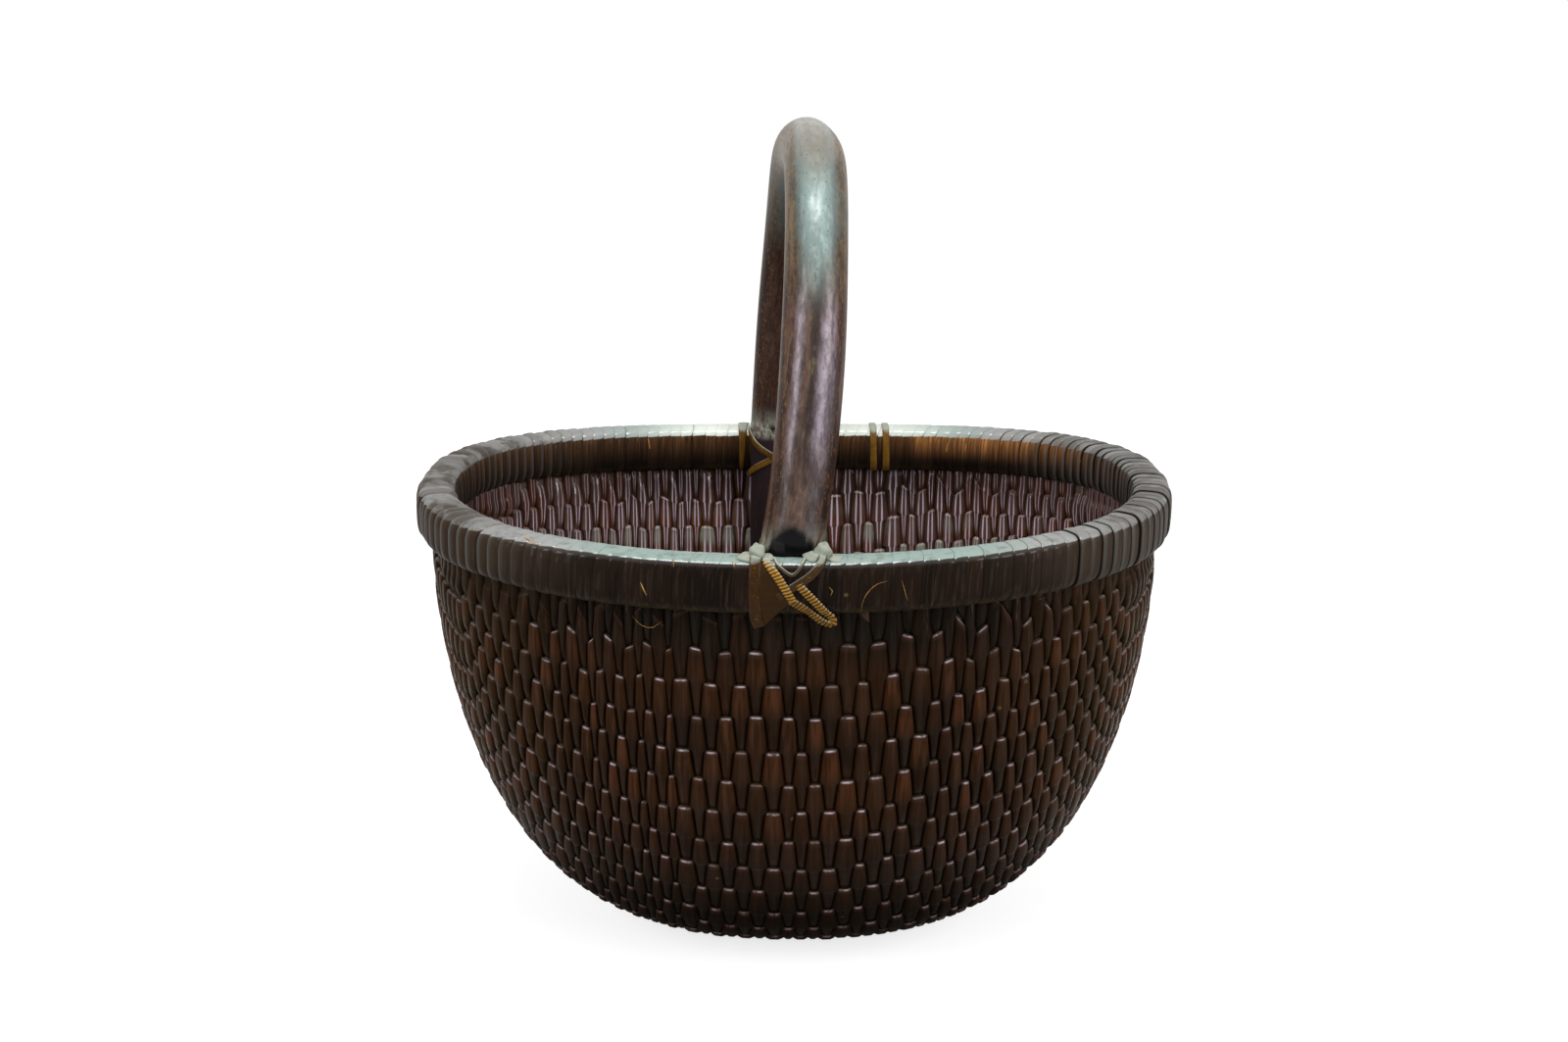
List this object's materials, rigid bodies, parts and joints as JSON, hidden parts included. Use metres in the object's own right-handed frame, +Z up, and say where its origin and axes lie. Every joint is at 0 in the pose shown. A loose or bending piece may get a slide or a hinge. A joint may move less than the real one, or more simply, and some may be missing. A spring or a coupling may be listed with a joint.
{
  "type": "gathering basket",
  "caption": "Oval gathering basket of dark willow rods bent in long U shapes from rim to rim, with a strip-wrapped rim and a lashed bentwood arch handle.",
  "frame": {"origin": "on the ground under the middle of the basket, at the centre of its overall box", "axes": "+Z up, X along the long side of the oval, -Y towards the front, where the handle's front foot is; the handle arches over in the YZ plane"},
  "size_m": [0.4494, 0.3531, 0.4909],
  "materials": {
    "willow": "dark aged willow rod, satin from handling, dusty inside",
    "hoop_wood": "bent wooden hoop, hidden under the winding",
    "rim_strip": "flat dark willow or cane strip, worn and dusty on top",
    "handle_wood": "polished dark bentwood with a grey-green bloom on the crown",
    "lashing_strip": "golden brown split cane strip, glossy",
    "bark": "thin amber brown bark flap"
  },
  "bodies": {
    "root": {"willow_rod_01": "willow", "willow_rod_02": "willow", "willow_rod_03": "willow", "willow_rod_04": "willow", "willow_rod_05": "willow", "willow_rod_06": "willow", "willow_rod_07": "willow", "willow_rod_08": "willow", "willow_rod_09": "willow", "willow_rod_10": "willow", "willow_rod_11": "willow", "willow_rod_12": "willow", "willow_rod_13": "willow", "willow_rod_14": "willow", "willow_rod_15": "willow", "willow_rod_16": "willow", "willow_rod_17": "willow", "willow_rod_18": "willow", "willow_rod_19": "willow", "willow_rod_20": "willow", "willow_rod_21": "willow", "willow_rod_22": "willow", "willow_rod_23": "willow", "willow_rod_24": "willow", "willow_rod_25": "willow", "willow_rod_26": "willow", "willow_rod_27": "willow", "willow_rod_28": "willow", "willow_rod_29": "willow", "willow_rod_30": "willow", "willow_rod_31": "willow", "willow_rod_32": "willow", "willow_rod_33": "willow", "willow_rod_34": "willow", "willow_rod_35": "willow", "willow_rod_36": "willow", "willow_rod_37": "willow", "willow_rod_38": "willow", "willow_rod_39": "willow", "willow_rod_40": "willow", "willow_rod_41": "willow", "willow_rod_42": "willow", "willow_rod_43": "willow", "willow_rod_44": "willow", "end_wall_left": "willow", "end_wall_right": "willow", "rim_hoop_outer": "hoop_wood", "rim_hoop_inner": "hoop_wood", "rim_binding": "rim_strip", "handle_pole": "handle_wood", "front_lashing_under": "lashing_strip", "front_lashing_over": "lashing_strip", "back_lashing_under": "lashing_strip", "back_lashing_over": "lashing_strip", "bark_flap": "bark", "rim_tie_1": "lashing_strip", "rim_tie_2": "lashing_strip"}
  },
  "joints": []
}
